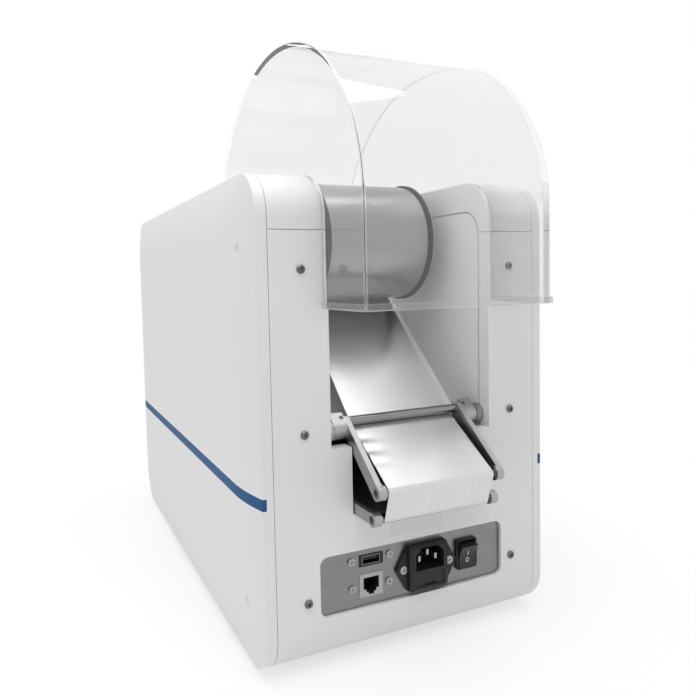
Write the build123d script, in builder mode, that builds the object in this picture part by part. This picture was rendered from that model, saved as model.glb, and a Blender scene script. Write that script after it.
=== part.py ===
from build123d import *
import os
from math import asin, atan2, cos, hypot, pi, radians, sin, sqrt

os.makedirs("parts", exist_ok=True)

# Frame: millimetres, +Z up, rear of the machine faces +Y, the front faces -Y.
# "depth" is measured inward from the rear panel, "height" up from the underside of the case.

# Case
panel_width = 219.6
side_cover_thickness = 7.6
side_cover_bulge = 5.9
case_depth = 440
case_height = 342
corner_radius = 30.5
sheet = 2.5
foot_height = 4
cover_seam_height = 302.6
seam_gap = 0.4

# Rear recess, dancer slot and roll bay
bay_width = 134
bay_depth = 186
ledge_height = 153.3
ledge_depth = 11.3
slot_width = 102.6
slot_bottom = 105.8
skirt_depth = 22

# Clear roll cover
cover_overhang = 60
cover_wall = 3
cover_width = 142.7
cover_rim_height = 250
cover_spring_height = 316.4
cover_top_height = 445.2
cover_front_depth = 232
cover_lip = 1.4

# Film, roll and film path
film_width = 85
film_thickness = 0.3
roll_radius = 46.7
roll_depth = 88.5
roll_height = 299.4
flange_radius = 48
flange_thickness = 3.4
core_radius = 19.5
spindle_radius = 8

# Dancer frame
guide_rod_radius = 3.25
guide_rod_depth = 16
guide_rod_height = 168
dancer_bar_depth = -31
dancer_bar_height = 129.7
lower_bar_depth = -24.7
lower_bar_height = 110
arm_thickness = 4
arm_width = 9.6
arm_outer = 50.6
hub_radius = 7
hub_length = 10.2
axle_radius = 2

# Connector panel
window_width = 155
window_height = 42.4
window_center_height = 58.2

# Feed, cutter, press and plate carriage
feed_depth = 250
feed_radius = 8
guide_top = 106.2
press_depth = 352
platen_travel = 36
tray_bottom = 58
tray_travel = 150

# Derived places
rear_y = (case_depth - cover_overhang) / 2
center_y = rear_y - case_depth / 2
center_z = foot_height + case_height / 2
panel_half = panel_width / 2
cover_start = panel_half
inner_half = panel_half - seam_gap
bay_half = bay_width / 2
slot_half = slot_width / 2
film_half = film_width / 2
arm_inner = arm_outer - arm_thickness


def y_at(depth):
    return rear_y - depth


def z_at(height):
    return foot_height + height


def block(x0, x1, d0, d1, h0, h1, mode=Mode.ADD):
    with Locations(((x0 + x1) / 2, y_at((d0 + d1) / 2), z_at((h0 + h1) / 2))):
        Box(abs(x1 - x0), abs(d1 - d0), abs(h1 - h0), mode=mode)


def rod(radius, x0, x1, depth, height, mode=Mode.ADD):
    with Locations(Location(((x0 + x1) / 2, y_at(depth), z_at(height)), (0, 90, 0))):
        Cylinder(radius, abs(x1 - x0), mode=mode)


def pin(radius, x, d0, d1, height, mode=Mode.ADD):
    with Locations(Location((x, y_at((d0 + d1) / 2), z_at(height)), (90, 0, 0))):
        Cylinder(radius, abs(d1 - d0), mode=mode)


def post(radius, x, depth, h0, h1, mode=Mode.ADD):
    with Locations((x, y_at(depth), z_at((h0 + h1) / 2))):
        Cylinder(radius, abs(h1 - h0), mode=mode)


# A side-view outline of (depth, height) points, pulled across from x0 to x1
def slab(points, x0, x1, mode=Mode.ADD):
    low, high = min(x0, x1), max(x0, x1)
    with BuildSketch(Plane.YZ.offset(low)) as outline:
        with BuildLine():
            Polyline(*[(y_at(d), z_at(h)) for d, h in points], close=True)
        make_face()
    extrude(outline.sketch, amount=high - low, mode=mode)


# A plane at the given depth that faces out of the rear, and one that faces out of the front
def rear_face(x, height, depth):
    return Plane(origin=(x, y_at(depth), z_at(height)), x_dir=(-1, 0, 0), z_dir=(0, 1, 0))


def front_face(x, height, depth):
    return Plane(origin=(x, y_at(depth), z_at(height)), x_dir=(1, 0, 0), z_dir=(0, -1, 0))


def case_outline(inset, x0, x1, mode=Mode.ADD):
    with BuildSketch(Plane.YZ.offset(min(x0, x1))) as outline:
        with Locations((center_y, center_z)):
            RectangleRounded(case_depth - 2 * inset, case_height - 2 * inset, corner_radius - inset)
    extrude(outline.sketch, amount=abs(x1 - x0), mode=mode)


# The bent sheet skin that runs round the machine between its two side covers
def case_ring(half_width):
    case_outline(0, -half_width, half_width)
    case_outline(sheet, -half_width, half_width, mode=Mode.SUBTRACT)


def finish(part, label, colour):
    part.label = label
    part.color = Color(*colour)
    export_step(part, "parts/" + label + ".step")


white = (0.93, 0.93, 0.92)
light_grey = (0.78, 0.79, 0.80)
steel = (0.62, 0.63, 0.64)
dark = (0.06, 0.06, 0.07)
blue = (0.14, 0.33, 0.52)
film_silver = (0.80, 0.81, 0.82)
clear = (0.85, 0.9, 0.95, 0.3)


# Side covers: rounded-rectangle mouldings, a crisp rim with a soft pillow on the outside
pillow_inset = 44
pillow_radius = (pillow_inset**2 + side_cover_bulge**2) / (2 * side_cover_bulge)
stripe_low = 118.7
stripe_high = 126.8
stripe_thickness = 0.8
stripe_wrap = 2.7
rim_x = cover_start + side_cover_thickness


def pillow_rise(step):
    return side_cover_bulge - pillow_radius + sqrt(pillow_radius**2 - (pillow_inset - step) ** 2)


# The closed outer form of one side cover, drawn in by the same amount all round
def cover_form(inset):
    case_outline(inset, cover_start, rim_x - inset)
    sections = []
    for share in (0, 0.2, 0.45, 0.72, 1):
        step = share * pillow_inset
        with BuildSketch(Plane.YZ.offset(rim_x - inset + pillow_rise(step))) as section:
            with Locations((center_y, center_z)):
                RectangleRounded(
                    case_depth - 2 * (inset + step),
                    case_height - 2 * (inset + step),
                    corner_radius - inset + 0.3 * step,
                )
        sections.append(section.sketch.face())
    loft(sections)


def stripe_band():
    block(rim_x - stripe_wrap, rim_x + 10, -5, case_depth + 5, stripe_low, stripe_high, mode=Mode.INTERSECT)


with BuildPart() as stripe_core:
    cover_form(stripe_thickness)

with BuildPart() as stripe_right:
    cover_form(0)
    stripe_band()
    add(stripe_core.part, mode=Mode.SUBTRACT)

plug_radius = 4
plug_rise = 4.1
plug_spots = [(24, 291.6), (24, 48.6), (case_depth - 24, 291.6), (case_depth - 24, 48.6)]

with BuildPart() as side_cover_right:
    cover_form(0)
    add(stripe_right.part, mode=Mode.SUBTRACT)
    with BuildSketch(Plane.YZ.offset(cover_start)) as hollow:
        with Locations((center_y, center_z)):
            RectangleRounded(case_depth - 7, case_height - 7, corner_radius - 3.5)
    extrude(hollow.sketch, amount=side_cover_thickness - 2.6, mode=Mode.SUBTRACT)
    for plug_depth, plug_height in plug_spots:
        rod(plug_radius, rim_x - 2.6, rim_x + 10, plug_depth, plug_height, mode=Mode.SUBTRACT)

with BuildPart() as side_cover_left:
    mirror(side_cover_right.part, about=Plane.YZ)

with BuildPart() as accent_stripes:
    add(stripe_right.part)
    mirror(stripe_right.part, about=Plane.YZ)

with BuildPart() as side_cover_plugs:
    for plug_depth, plug_height in plug_spots:
        rod(plug_radius, rim_x - 2.6, rim_x + plug_rise, plug_depth, plug_height)
    mirror(about=Plane.YZ)

finish(side_cover_right.part, "side_cover_right", white)
finish(side_cover_left.part, "side_cover_left", white)
finish(accent_stripes.part, "accent_stripes", blue)
finish(side_cover_plugs.part, "side_cover_plugs", white)


# Bent sheet skin: rear panel, top cover, front panel and base plate
fold = 2
curve_end = corner_radius + 4
slot_return = 8
case_screw_spots = [(side * 86.7, height) for side in (-1, 1) for height in (276.7, 166, 50)]
case_screw_shank = 1.5

with BuildPart() as rear_panel:
    case_ring(inner_half)
    block(-panel_half, panel_half, -1, curve_end, -1, cover_seam_height, mode=Mode.INTERSECT)
    for side in (-1, 1):
        block(side * bay_half, side * (bay_half + fold), sheet, ledge_depth, ledge_height - fold, cover_seam_height)
        block(side * slot_half, side * (bay_half + fold), sheet, ledge_depth, ledge_height - fold, ledge_height)
        block(side * slot_half, side * (slot_half + fold), sheet, slot_return, slot_bottom - fold, ledge_height)
    block(-slot_half - fold, slot_half + fold, sheet, slot_return, slot_bottom - fold, slot_bottom)
    block(-bay_half, bay_half, -1, ledge_depth, ledge_height, cover_seam_height + 1, mode=Mode.SUBTRACT)
    block(-slot_half, slot_half, -1, slot_return, slot_bottom, ledge_height + 1, mode=Mode.SUBTRACT)
    with BuildSketch(rear_face(0, window_center_height, sheet)):
        RectangleRounded(window_width, window_height, 6)
    extrude(amount=sheet + 1, mode=Mode.SUBTRACT)
    for x, height in case_screw_spots:
        pin(case_screw_shank + 0.15, x, -1, sheet + 1, height, mode=Mode.SUBTRACT)

with BuildPart() as bay_skirt:
    for side in (-1, 1):
        case_outline(sheet, side * bay_half, side * (bay_half + fold))
    block(
        -panel_half, panel_half, -1, bay_depth + fold, cover_seam_height + seam_gap, case_height, mode=Mode.INTERSECT
    )
    with BuildSketch(Plane.YZ.offset(-panel_half)) as skirt_inside:
        with Locations((y_at(ledge_depth + bay_depth), z_at(case_height - skirt_depth - 100))):
            RectangleRounded(2 * bay_depth, 200, 18)
    extrude(skirt_inside.sketch, amount=panel_width, mode=Mode.SUBTRACT)
    block(
        -bay_half - fold, bay_half + fold, bay_depth, bay_depth + fold, case_height - skirt_depth, case_height - sheet
    )

with BuildPart() as top_cover:
    case_ring(inner_half)
    block(
        -panel_half, panel_half, -1, case_depth + 1, cover_seam_height + seam_gap, case_height + 1, mode=Mode.INTERSECT
    )
    block(-bay_half, bay_half, -1, bay_depth, cover_seam_height - 5, case_height + 1, mode=Mode.SUBTRACT)
    add(bay_skirt.part)

display_width = 164
display_height = 100
display_center = 240
mouth_half = 60.6
mouth_low = 45.4
mouth_high = 112.6

with BuildPart() as front_panel:
    case_ring(inner_half)
    block(
        -panel_half, panel_half, case_depth - curve_end, case_depth + 1, -1, cover_seam_height, mode=Mode.INTERSECT
    )
    with BuildSketch(front_face(0, display_center, case_depth - sheet)):
        RectangleRounded(display_width, display_height, 6)
    extrude(amount=sheet + 1, mode=Mode.SUBTRACT)
    with BuildSketch(front_face(0, (mouth_low + mouth_high) / 2, case_depth - sheet)):
        RectangleRounded(2 * mouth_half, mouth_high - mouth_low, 5)
    extrude(amount=sheet + 1, mode=Mode.SUBTRACT)

with BuildPart() as base_plate:
    case_ring(inner_half)
    block(
        -panel_half, panel_half, curve_end + seam_gap, case_depth - curve_end - seam_gap, -1, sheet + 1,
        mode=Mode.INTERSECT,
    )

foot_spots = [(side * 84, depth) for side in (-1, 1) for depth in (48, case_depth - 48)]
with BuildPart() as rubber_feet:
    with BuildSketch(Plane.XY) as foot_round:
        with Locations(*[(x, y_at(depth)) for x, depth in foot_spots]):
            Circle(9)
    extrude(foot_round.sketch, amount=foot_height)
    chamfer(rubber_feet.edges().group_by(Axis.Z)[0], 1)

chassis_wall = 2.5
chassis_inner = panel_half - chassis_wall
with BuildPart() as chassis_sides:
    for side in (-1, 1):
        case_outline(sheet, side * chassis_inner, side * panel_half)

with BuildPart() as rear_panel_screws:
    for x, height in case_screw_spots:
        pin(2.9, x, -1.7, 0, height)
        pin(case_screw_shank, x, 0, 9, height)
    chamfer(rear_panel_screws.edges().filter_by(GeomType.CIRCLE).group_by(Axis.Y)[-1], 0.7)
    for x, height in case_screw_spots:
        with BuildSketch(rear_face(x, height, -0.6)) as socket:
            RegularPolygon(1.25, 6)
        extrude(socket.sketch, amount=2, mode=Mode.SUBTRACT)

finish(rear_panel.part, "rear_panel", white)
finish(top_cover.part, "top_cover", white)
finish(front_panel.part, "front_panel", white)
finish(base_plate.part, "base_plate", light_grey)
finish(rubber_feet.part, "rubber_feet", dark)
finish(chassis_sides.part, "chassis_sides", light_grey)
finish(rear_panel_screws.part, "rear_panel_screws", dark)


# Display in the front panel
display_lip = 4
with BuildPart() as display_bezel:
    with BuildSketch(front_face(0, display_center, case_depth - 6)):
        RectangleRounded(display_width + 2 * display_lip, display_height + 2 * display_lip, 8)
    extrude(amount=6 - sheet)
    with BuildSketch(front_face(0, display_center, case_depth - sheet)):
        RectangleRounded(display_width - 0.4, display_height - 0.4, 5.8)
    extrude(amount=sheet - 0.3)
    with BuildSketch(front_face(0, display_center, case_depth - 6)):
        RectangleRounded(display_width - 10, display_height - 14, 3)
    extrude(amount=8, mode=Mode.SUBTRACT)

with BuildPart() as touch_screen:
    with BuildSketch(front_face(0, display_center, case_depth - 5)):
        RectangleRounded(display_width - 10, display_height - 14, 3)
    extrude(amount=4)

finish(display_bezel.part, "display_bezel", dark)
finish(touch_screen.part, "touch_screen", dark)


# Liner that closes the roll bay: two side walls, a sloping floor and a front wall
liner_start = ledge_depth + 1.2
liner_top = case_height - skirt_depth - 0.8
floor_low = (38, 155)
floor_high = (bay_depth, 290)
floor_drop = 3

with BuildPart() as roll_bay_liner:
    with BuildSketch(Plane.YZ.offset(-bay_half - fold)) as liner_wall:
        with BuildLine():
            Polyline(
                (y_at(liner_start), z_at(floor_low[1] - floor_drop)),
                (y_at(liner_start), z_at(liner_top)),
                (y_at(bay_depth + fold), z_at(liner_top)),
                (y_at(bay_depth + fold), z_at(floor_high[1] - floor_drop)),
                (y_at(floor_low[0]), z_at(floor_low[1] - floor_drop)),
                close=True,
            )
        make_face()
        fillet(liner_wall.vertices().sort_by_distance((y_at(liner_start), z_at(liner_top), 0))[0], 17)
    extrude(liner_wall.sketch, amount=bay_width + 2 * fold)
    slab(
        [
            (liner_start - 1, floor_low[1] - 10),
            (liner_start - 1, liner_top + 1),
            (bay_depth, liner_top + 1),
            floor_high,
            floor_low,
            (floor_low[0], floor_low[1] - 10),
        ],
        -bay_half,
        bay_half,
        mode=Mode.SUBTRACT,
    )
    for side in (-1, 1):
        block(side * (bay_half + fold), side * chassis_inner, 46, bay_depth, liner_top - fold, liner_top)

finish(roll_bay_liner.part, "roll_bay_liner", white)


# Clear roll cover: a bent arch between two flat cheeks that stand on the towers
cover_half = cover_width / 2
arch_center = (cover_front_depth - cover_overhang + cover_lip) / 2
arch_half = (cover_front_depth + cover_overhang - cover_lip) / 2
cheek_gap = 0.5


def arch(inset, low, half):
    with BuildSketch(Plane.YZ.offset(-half)) as outline:
        with Locations((y_at(arch_center), z_at(cover_spring_height))):
            Ellipse(arch_half - inset, cover_top_height - cover_spring_height - inset)
        with Locations((y_at(arch_center), z_at((cover_spring_height + low) / 2 - 80))):
            Rectangle(2 * arch_half, cover_spring_height - low + 160, mode=Mode.SUBTRACT)
        with Locations((y_at(arch_center), z_at((cover_spring_height + low) / 2))):
            Rectangle(2 * (arch_half - inset), cover_spring_height - low)
    return outline.sketch


with BuildPart() as roll_cover:
    extrude(arch(0, cover_rim_height, cover_half), amount=cover_width)
    block(
        -cover_half - cover_lip, cover_half + cover_lip, -cover_overhang, 40,
        cover_rim_height, cover_rim_height + 4.5,
    )
    extrude(
        arch(cover_wall, cover_rim_height - 1, cover_half - cover_wall),
        amount=cover_width - 2 * cover_wall,
        mode=Mode.SUBTRACT,
    )
    with BuildSketch(Plane.YZ.offset(-panel_half)) as machine_side:
        with Locations((center_y + cheek_gap / 2, center_z)):
            RectangleRounded(case_depth + cheek_gap, case_height, corner_radius)
    extrude(machine_side.sketch, amount=panel_width, mode=Mode.SUBTRACT)

finish(roll_cover.part, "roll_cover", clear)


# Film roll on its spindle
journal_radius = 6
journal_half = bay_half - 0.4
cradle_depth = 7
core_inner = core_radius - 3

with BuildPart() as film_roll:
    rod(roll_radius, -film_half, film_half, roll_depth, roll_height)
    rod(core_radius, -film_half, film_half, roll_depth, roll_height, mode=Mode.SUBTRACT)

with BuildPart() as roll_core:
    rod(core_radius, -film_half, film_half, roll_depth, roll_height)
    rod(core_inner, -film_half, film_half, roll_depth, roll_height, mode=Mode.SUBTRACT)

with BuildPart() as roll_flanges:
    for side in (-1, 1):
        rod(flange_radius, side * film_half, side * (film_half + flange_thickness), roll_depth, roll_height)
        rod(core_inner, side * (film_half - 14), side * film_half, roll_depth, roll_height)
        rod(14, side * film_half, side * (film_half + 9), roll_depth, roll_height)
    rod(spindle_radius, -bay_half, bay_half, roll_depth, roll_height, mode=Mode.SUBTRACT)

with BuildPart() as spindle:
    rod(spindle_radius, -film_half - 14, film_half + 14, roll_depth, roll_height)
    rod(journal_radius, -journal_half, journal_half, roll_depth, roll_height)
    chamfer(spindle.edges().filter_by(GeomType.CIRCLE).group_by(Axis.X)[0], 1)
    chamfer(spindle.edges().filter_by(GeomType.CIRCLE).group_by(Axis.X)[-1], 1)

with BuildPart() as spindle_cradles:
    for side in (-1, 1):
        block(
            side * (bay_half - cradle_depth), side * bay_half, roll_depth - 13, roll_depth + 13,
            roll_height - 22, roll_height + 8,
        )
    rod(journal_radius + 0.05, -bay_half, bay_half, roll_depth, roll_height, mode=Mode.SUBTRACT)
    block(
        -bay_half, bay_half, roll_depth - journal_radius - 0.05, roll_depth + journal_radius + 0.05,
        roll_height, roll_height + 9, mode=Mode.SUBTRACT,
    )

finish(film_roll.part, "film_roll", film_silver)
finish(roll_core.part, "roll_core", light_grey)
finish(roll_flanges.part, "roll_flanges", dark)
finish(spindle.part, "spindle", steel)
finish(spindle_cradles.part, "spindle_cradles", light_grey)


# Film path: straight spans that touch each roller, worked out in the (depth, height) plane.
# A side of 1 means that the roller lies to the left of the film as it travels, -1 to the right.
half_film = film_thickness / 2
film_level = guide_top + 0.4
roll_stop = ((roll_depth, roll_height), -1, roll_radius + half_film)
rod_stop = ((guide_rod_depth, guide_rod_height), -1, guide_rod_radius + half_film)
dancer_stop = ((dancer_bar_depth, dancer_bar_height), 1, guide_rod_radius + half_film)
lower_stop = ((lower_bar_depth, lower_bar_height), 1, guide_rod_radius + half_film)
level_stop = ((16, film_level), 1, 0)
feed_stop = ((feed_depth + 12, film_level), 1, 0)


def span_angle(stop0, stop1):
    (d0, h0), side0, radius0 = stop0
    (d1, h1), side1, radius1 = stop1
    distance = hypot(d1 - d0, h1 - h0)
    return atan2(h1 - h0, d1 - d0) - asin((side1 * radius1 - side0 * radius0) / distance)


def touch(stop, angle, offset=0):
    (d, h), side, radius = stop
    reach = side * radius - offset
    return (y_at(d + reach * sin(angle)), z_at(h - reach * cos(angle)))


def turn(angle0, angle1, share):
    return angle0 + share * ((angle1 - angle0 + pi) % (2 * pi) - pi)


# Each station is a roller with the film's angle before and after it
def film_sheet(*stations):
    with BuildSketch(Plane.YZ.offset(-film_half)) as film_side:
        with BuildLine():
            for offset in (half_film, -half_film):
                last = None
                for stop, angle0, angle1 in stations:
                    start = touch(stop, angle0, offset)
                    if last:
                        Line(last, start)
                    last = start
                    if angle1 != angle0:
                        last = touch(stop, angle1, offset)
                        ThreePointArc(start, touch(stop, turn(angle0, angle1, 0.5), offset), last)
            for stop, angle in ((stations[0][0], stations[0][1]), (stations[-1][0], stations[-1][2])):
                Line(touch(stop, angle, half_film), touch(stop, angle, -half_film))
        make_face()
    extrude(film_side.sketch, amount=film_width)


web_angle = span_angle(roll_stop, rod_stop)
arm_span_angle = span_angle(rod_stop, dancer_stop)
drop_angle = span_angle(dancer_stop, lower_stop)
entry_angle = span_angle(lower_stop, level_stop)

with BuildPart() as film_upper_span:
    film_sheet((roll_stop, web_angle, web_angle), (rod_stop, web_angle, web_angle))

with BuildPart() as film_arm_span:
    film_sheet((rod_stop, web_angle, arm_span_angle), (dancer_stop, arm_span_angle, drop_angle))

with BuildPart() as film_lower_span:
    film_sheet((dancer_stop, drop_angle, drop_angle), (lower_stop, drop_angle, drop_angle))

with BuildPart() as film_feed_span:
    film_sheet((lower_stop, drop_angle, entry_angle), (level_stop, entry_angle, entry_angle), (feed_stop, 0, 0))

finish(film_upper_span.part, "film_upper_span", film_silver)
finish(film_arm_span.part, "film_arm_span", film_silver)
finish(film_lower_span.part, "film_lower_span", film_silver)
finish(film_feed_span.part, "film_feed_span", film_silver)


# Dancer frame: two flat arms with hubs at the pivot and bosses at the outer bar
arm_length = hypot(guide_rod_depth - dancer_bar_depth, guide_rod_height - dancer_bar_height)
arm_along = ((dancer_bar_depth - guide_rod_depth) / arm_length, (dancer_bar_height - guide_rod_height) / arm_length)
arm_across = (arm_along[1], -arm_along[0])
arm_half = arm_width / 2
boss_radius = 5.2
boss_inner = 44.8
collar_outer = 44.6
collar_inner = 43.6
screw_seat = arm_outer - 1.9
pivot_pin_radius = 3
bush_inner = arm_outer + hub_length + 0.5


def on_arm(along, across):
    return (
        guide_rod_depth + along * arm_along[0] + across * arm_across[0],
        guide_rod_height + along * arm_along[1] + across * arm_across[1],
    )


pivot = on_arm(5, arm_half - hub_radius)
hub_block = [
    on_arm(-arm_half, arm_half),
    on_arm(5, arm_half),
    on_arm(5, arm_half - 2 * hub_radius),
    on_arm(-arm_half, arm_half - 2 * hub_radius),
]

with BuildPart() as dancer_arms:
    for side in (-1, 1):
        inside, outside, hub_end = side * arm_inner, side * arm_outer, side * (arm_outer + hub_length)
        arm_plate = [on_arm(0, -arm_half), on_arm(0, arm_half), on_arm(arm_length, arm_half),
                     on_arm(arm_length, -arm_half)]
        slab(arm_plate, inside, outside)
        rod(arm_half, inside, outside, guide_rod_depth, guide_rod_height)
        slab(hub_block, outside, hub_end)
        rod(hub_radius, inside, hub_end, *pivot)
        rod(boss_radius, side * boss_inner, outside, dancer_bar_depth, dancer_bar_height)
        rod(3.1, side * screw_seat, side * (arm_outer + 1), dancer_bar_depth, dancer_bar_height, mode=Mode.SUBTRACT)
        rod(pivot_pin_radius, side * (arm_outer + 4.8), side * bay_half, *pivot, mode=Mode.SUBTRACT)
    rod(guide_rod_radius, -arm_outer - 4, arm_outer + 4, guide_rod_depth, guide_rod_height, mode=Mode.SUBTRACT)
    rod(axle_radius, -screw_seat, screw_seat, dancer_bar_depth, dancer_bar_height, mode=Mode.SUBTRACT)

# A screw above the guide rod in each hub, sunk below the hub's flat
set_screw_radius = 1.7
set_screw_x = arm_outer + 2.2
flat_normal = (0, -arm_across[0], arm_across[1])


def hub_screw(radius, bottom, top, mode=Mode.ADD):
    for side in (-1, 1):
        foot = on_arm(0, bottom)
        with BuildSketch(Plane(origin=(side * set_screw_x, y_at(foot[0]), z_at(foot[1])), z_dir=flat_normal)) as hole:
            Circle(radius)
        extrude(hole.sketch, amount=top - bottom, mode=mode)


with BuildPart() as hub_screw_holes:
    hub_screw(set_screw_radius, guide_rod_radius - 0.2, arm_half + 1)
    rod(guide_rod_radius, -arm_outer - 4, arm_outer + 4, guide_rod_depth, guide_rod_height, mode=Mode.SUBTRACT)

with BuildPart() as dancer_arms_bored:
    add(dancer_arms.part)
    add(hub_screw_holes.part, mode=Mode.SUBTRACT)

with BuildPart() as guide_rod:
    rod(guide_rod_radius, -arm_outer - 4, arm_outer + 4, guide_rod_depth, guide_rod_height)

with BuildPart() as pivot_pins:
    for side in (-1, 1):
        rod(pivot_pin_radius, side * (arm_outer + 4.8), side * (bay_half - 0.3), *pivot)

with BuildPart() as pivot_bushes:
    for side in (-1, 1):
        rod(hub_radius + 0.4, side * bush_inner, side * bay_half, *pivot)
        rod(pivot_pin_radius + 0.05, side * (bush_inner - 1), side * bay_half, *pivot, mode=Mode.SUBTRACT)


# An axle with end collars, its film roller and its two end screws, alike on both bars
def bar_axle(depth, height):
    rod(axle_radius, -screw_seat, screw_seat, depth, height)
    for side in (-1, 1):
        rod(guide_rod_radius + 0.5, side * collar_inner, side * collar_outer, depth, height)
        rod(1, side * (screw_seat - 5), side * (screw_seat + 1), depth, height, mode=Mode.SUBTRACT)


def bar_roller(depth, height):
    rod(guide_rod_radius, 0.4 - collar_inner, collar_inner - 0.4, depth, height)
    rod(axle_radius + 0.05, -collar_inner, collar_inner, depth, height, mode=Mode.SUBTRACT)


def bar_screws(depth, height):
    for side in (-1, 1):
        rod(2.9, side * screw_seat, side * (arm_outer - 0.3), depth, height)
        rod(1, side * (screw_seat - 5), side * screw_seat, depth, height)
        cross = side * (arm_outer - 1.1), side * arm_outer
        block(*cross, depth - 1.8, depth + 1.8, height - 0.4, height + 0.4, mode=Mode.SUBTRACT)
        block(*cross, depth - 0.4, depth + 0.4, height - 1.8, height + 1.8, mode=Mode.SUBTRACT)


with BuildPart() as dancer_axle:
    bar_axle(dancer_bar_depth, dancer_bar_height)

with BuildPart() as dancer_roller:
    bar_roller(dancer_bar_depth, dancer_bar_height)

with BuildPart() as dancer_screws:
    bar_screws(dancer_bar_depth, dancer_bar_height)
    hub_screw(set_screw_radius, guide_rod_radius - 0.2, arm_half - 0.7)
    rod(guide_rod_radius, -arm_outer - 4, arm_outer + 4, guide_rod_depth, guide_rod_height, mode=Mode.SUBTRACT)

bracket_radius = 4.8
bracket_end = 30
with BuildPart() as lower_brackets:
    for side in (-1, 1):
        inside, outside = side * (arm_inner + 0.2), side * arm_outer
        neck = [
            (lower_bar_depth, lower_bar_height + bracket_radius - 0.6),
            (bracket_end, lower_bar_height + bracket_radius - 0.6),
            (bracket_end, guide_top),
            (lower_bar_depth, guide_top),
        ]
        slab(neck, inside, outside)
        rod(bracket_radius, side * boss_inner, outside, lower_bar_depth, lower_bar_height)
        rod(3.1, side * screw_seat, side * (arm_outer + 1), lower_bar_depth, lower_bar_height, mode=Mode.SUBTRACT)
    rod(axle_radius, -screw_seat, screw_seat, lower_bar_depth, lower_bar_height, mode=Mode.SUBTRACT)

with BuildPart() as lower_axle:
    bar_axle(lower_bar_depth, lower_bar_height)

with BuildPart() as lower_roller:
    bar_roller(lower_bar_depth, lower_bar_height)

with BuildPart() as lower_screws:
    bar_screws(lower_bar_depth, lower_bar_height)

finish(dancer_arms_bored.part, "dancer_arms", light_grey)
finish(guide_rod.part, "guide_rod", steel)
finish(pivot_pins.part, "pivot_pins", steel)
finish(pivot_bushes.part, "pivot_bushes", light_grey)
finish(dancer_axle.part, "dancer_axle", steel)
finish(dancer_roller.part, "dancer_roller", steel)
finish(dancer_screws.part, "dancer_screws", steel)
finish(lower_brackets.part, "lower_brackets", light_grey)
finish(lower_axle.part, "lower_axle", steel)
finish(lower_roller.part, "lower_roller", steel)
finish(lower_screws.part, "lower_screws", steel)


# Connector panel: recessed metal plate with sockets, mains inlet and power switch
plate_depth = sheet + 2
usb_x, usb_height, usb_size = 36.7, 70.2, (19.4, 8.5)
network_x, network_height, network_size = 36.9, 52, (18.6, 16.6)
socket_screw_spots = [(52.6, 71.2), (21.7, 71.2), (52.2, 51.4), (22.4, 51.4)]
inlet_x, inlet_height = -8.8, 57.6
inlet_size = (33, 34)
inlet_screw_gap = 39.8
inlet_front = -4.5
flange_front = 0
switch_x, switch_height = -45, 59
switch_size = (18.8, 23)
rocker_size = (14.6, 18)
rocker_gap = (0.5, 1.4)
rocker_tilt = radians(-12)


def rear_pocket(x, height, size, depth0, depth1, mode=Mode.ADD, radius=0):
    with BuildSketch(rear_face(x, height, depth1)) as outline:
        if radius:
            RectangleRounded(*size, radius)
        else:
            Rectangle(*size)
    extrude(outline.sketch, amount=depth1 - depth0, mode=mode)


with BuildPart() as connector_plate:
    rear_pocket(0, window_center_height, (window_width + 8, window_height + 8), sheet, plate_depth)
    rear_pocket(usb_x, usb_height, usb_size, 0, 10, mode=Mode.SUBTRACT)
    rear_pocket(network_x, network_height, network_size, 0, 10, mode=Mode.SUBTRACT)
    rear_pocket(inlet_x, inlet_height, (28, 30), 0, 10, mode=Mode.SUBTRACT)
    rear_pocket(switch_x, switch_height, (17.6, 21.8), 0, 10, mode=Mode.SUBTRACT)
    for x, height in socket_screw_spots:
        pin(1.2, x, 0, 10, height, mode=Mode.SUBTRACT)
    for side in (-1, 1):
        pin(1.6, inlet_x + side * inlet_screw_gap / 2, 0, 10, inlet_height, mode=Mode.SUBTRACT)

with BuildPart() as usb_port:
    rear_pocket(usb_x, usb_height, usb_size, sheet - 0.4, 18)
    rear_pocket(usb_x, usb_height, (14.4, 6), 0, 14, mode=Mode.SUBTRACT)
    rear_pocket(usb_x, usb_height + 0.9, (11.4, 1.8), sheet + 0.6, 14)

with BuildPart() as network_port:
    rear_pocket(network_x, network_height, network_size, sheet - 0.4, 20)
    rear_pocket(network_x, network_height + 1.2, (12.4, 8.6), 0, 15, mode=Mode.SUBTRACT)
    rear_pocket(network_x, network_height - 4, (8, 2.4), 0, 15, mode=Mode.SUBTRACT)
    rear_pocket(network_x, network_height - 5.9, (4.4, 2), 0, 15, mode=Mode.SUBTRACT)


def flat_screws(spots, head_radius, shank_radius, depth0, depth1, shank_end):
    for x, height in spots:
        pin(head_radius, x, depth0, depth1, height)
        pin(shank_radius, x, depth1, shank_end, height)
    for x, height in spots:
        rear_pocket(x, height, (head_radius * 1.3, 0.7), depth0 - 1, depth0 + 0.7, mode=Mode.SUBTRACT)
        rear_pocket(x, height, (0.7, head_radius * 1.3), depth0 - 1, depth0 + 0.7, mode=Mode.SUBTRACT)


inlet_screw_spots = [(inlet_x + side * inlet_screw_gap / 2, inlet_height) for side in (-1, 1)]
with BuildPart() as connector_screws:
    flat_screws(socket_screw_spots, 2.6, 1.2, sheet - 1.3, sheet, 7)
    flat_screws(inlet_screw_spots, 3, 1.5, flange_front - 0.4, flange_front + 1.2, 8)

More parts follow.
